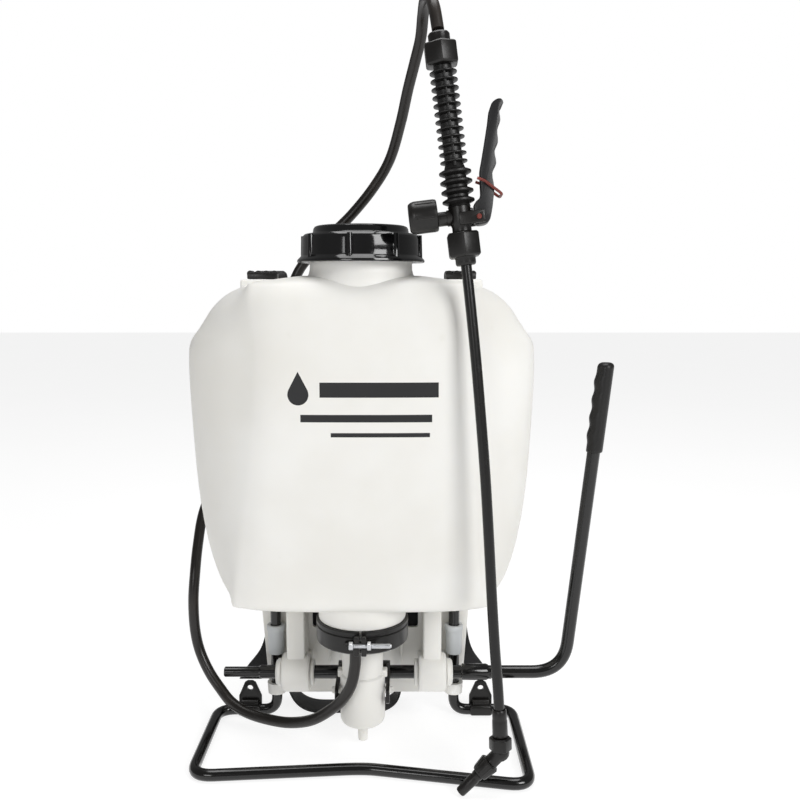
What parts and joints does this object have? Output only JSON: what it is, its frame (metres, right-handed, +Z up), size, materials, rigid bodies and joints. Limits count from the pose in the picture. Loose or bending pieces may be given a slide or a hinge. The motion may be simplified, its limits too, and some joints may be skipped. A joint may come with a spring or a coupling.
{
  "type": "backpack sprayer",
  "caption": "Lever-pumped backpack sprayer: moulded tank on a bent-tube stand, under-tank piston pump, padded harness, hose and trigger wand with angled nozzle.",
  "frame": {"origin": "on the floor, under the middle of the stand's front tube, in the tank's centre plane", "axes": "+Z up, +Y from the front of the tank to the wearer's back, +X to the pump-handle side"},
  "size_m": [0.4496, 0.2874, 0.7399],
  "materials": {
    "tank_plastic": "blow-moulded translucent off-white polyethylene, fine satin grain",
    "skirt_plastic": "injection-moulded white polypropylene, satin",
    "gloss_black": "glossy moulded black",
    "matt_black": "moulded black, low sheen",
    "soft_black": "black grip plastic, finely textured",
    "black_enamel": "black stove enamel on steel tube",
    "lance_black": "black glass-filled tube, satin",
    "grey_plastic": "pale grey moulded sleeve",
    "trigger_grey": "charcoal glass-filled plastic",
    "lock_red": "dark red-brown moulded plastic",
    "zinc_steel": "bright zinc plate",
    "chrome": "bright plated pin",
    "rubber": "moulded seal rubber",
    "hose_rubber": "smooth black hose",
    "padded_fabric": "black woven nylon over foam",
    "webbing": "black polypropylene webbing"
  },
  "bodies": {
    "root": {"tank_shell": "tank_plastic", "tank_neck": "tank_plastic", "base_skirt": "skirt_plastic", "strainer_basket": "matt_black", "clamp_half_left": "matt_black", "clamp_half_right": "matt_black", "clamp_bolt_front": "zinc_steel", "clamp_bolt_back": "zinc_steel", "clamp_nut_front": "zinc_steel", "clamp_nut_back": "zinc_steel", "pump_head": "matt_black", "pump_barrel": "matt_black", "pressure_chamber": "matt_black", "delivery_valve": "rubber", "stand_tube": "black_enamel", "bushing_left": "skirt_plastic", "bushing_right": "skirt_plastic", "washer_left": "skirt_plastic", "washer_right": "skirt_plastic", "tube_clip_left": "grey_plastic", "tube_clip_right": "grey_plastic", "strap_bracket_left": "matt_black", "strap_bracket_right": "matt_black", "strap_anchor_left": "matt_black", "strap_anchor_right": "matt_black", "shoulder_strap_left": "padded_fabric", "shoulder_strap_right": "padded_fabric", "lower_webbing_left": "webbing", "lower_webbing_right": "webbing", "lumbar_pad": "padded_fabric", "waist_strap": "webbing", "hose": "hose_rubber", "hose_nut": "matt_black", "valve_grip": "soft_black", "valve_body": "matt_black", "valve_cap": "matt_black", "valve_spring": "zinc_steel", "lance_nut": "matt_black", "lance_tube": "lance_black", "lance_collar": "matt_black", "nozzle_elbow": "matt_black", "nozzle_nut": "matt_black"},
    "pump_piston": {"pump_cylinder": "skirt_plastic", "piston_seal": "rubber", "intake_valve": "rubber"},
    "pump_lever": {"pump_shaft": "black_enamel", "crank_yoke": "matt_black", "handle_tube": "black_enamel", "handle_grip": "soft_black"},
    "gasket_body": {"cap_gasket": "rubber"},
    "cap_body": {"tank_cap": "gloss_black", "cap_vent_valve": "rubber"},
    "trigger_body": {"trigger": "trigger_grey", "trigger_pivot": "lock_red"},
    "lock_body": {"lock_clip": "lock_red"},
    "pin_body": {"valve_pin": "chrome"},
    "tip_body": {"nozzle_tip": "matt_black"}
  },
  "joints": [
    {"name": "pump_handle", "type": "hinge", "parent": "root", "child": "pump_lever", "pos_m": [0, 0.104, 0.058], "axis": [-1, 0, 0], "range_deg": [0, 30]},
    {"name": "pump_stroke", "type": "slide", "parent": "root", "child": "pump_piston", "axis": [0, 0, 1], "range_m": [0, 0.0256]},
    {"name": "cap_lift", "type": "slide", "parent": "root", "child": "gasket_body", "axis": [0, 0, 1], "range_m": [0, 0.009]},
    {"name": "cap_turn", "type": "hinge", "parent": "gasket_body", "child": "cap_body", "pos_m": [0, 0.073, 0.5], "axis": [0, 0, 1], "range_deg": [0, 450]},
    {"name": "trigger_squeeze", "type": "hinge", "parent": "root", "child": "trigger_body", "pos_m": [0.10837, 0.00264, 0.52862], "axis": [0, -0.9972, 0.0745], "range_deg": [0, 7], "stiffness_Nm_per_rad": 1.2},
    {"name": "valve_pin_travel", "type": "slide", "parent": "root", "child": "pin_body", "axis": [-0.9924, -0.0092, -0.1226], "range_m": [0, 0.0011]},
    {"name": "lock_flip", "type": "hinge", "parent": "trigger_body", "child": "lock_body", "pos_m": [0.11281, 0.005, 0.56022], "axis": [0, -0.9972, 0.0745], "range_deg": [0, 22]},
    {"name": "tip_turn", "type": "hinge", "parent": "root", "child": "tip_body", "pos_m": [0.1123, -0.0357, 0.0223], "axis": [-0.7057, -0.0642, -0.7057], "range_deg": [0, 360]}
  ],
  "couplings": [
    {"joint": "pump_stroke", "follows": "pump_handle", "m_per_rad": 0.04852},
    {"joint": "cap_lift", "follows": "cap_turn", "m_per_rad": 0.0008913},
    {"joint": "valve_pin_travel", "follows": "trigger_squeeze", "m_per_rad": 0.0081}
  ]
}
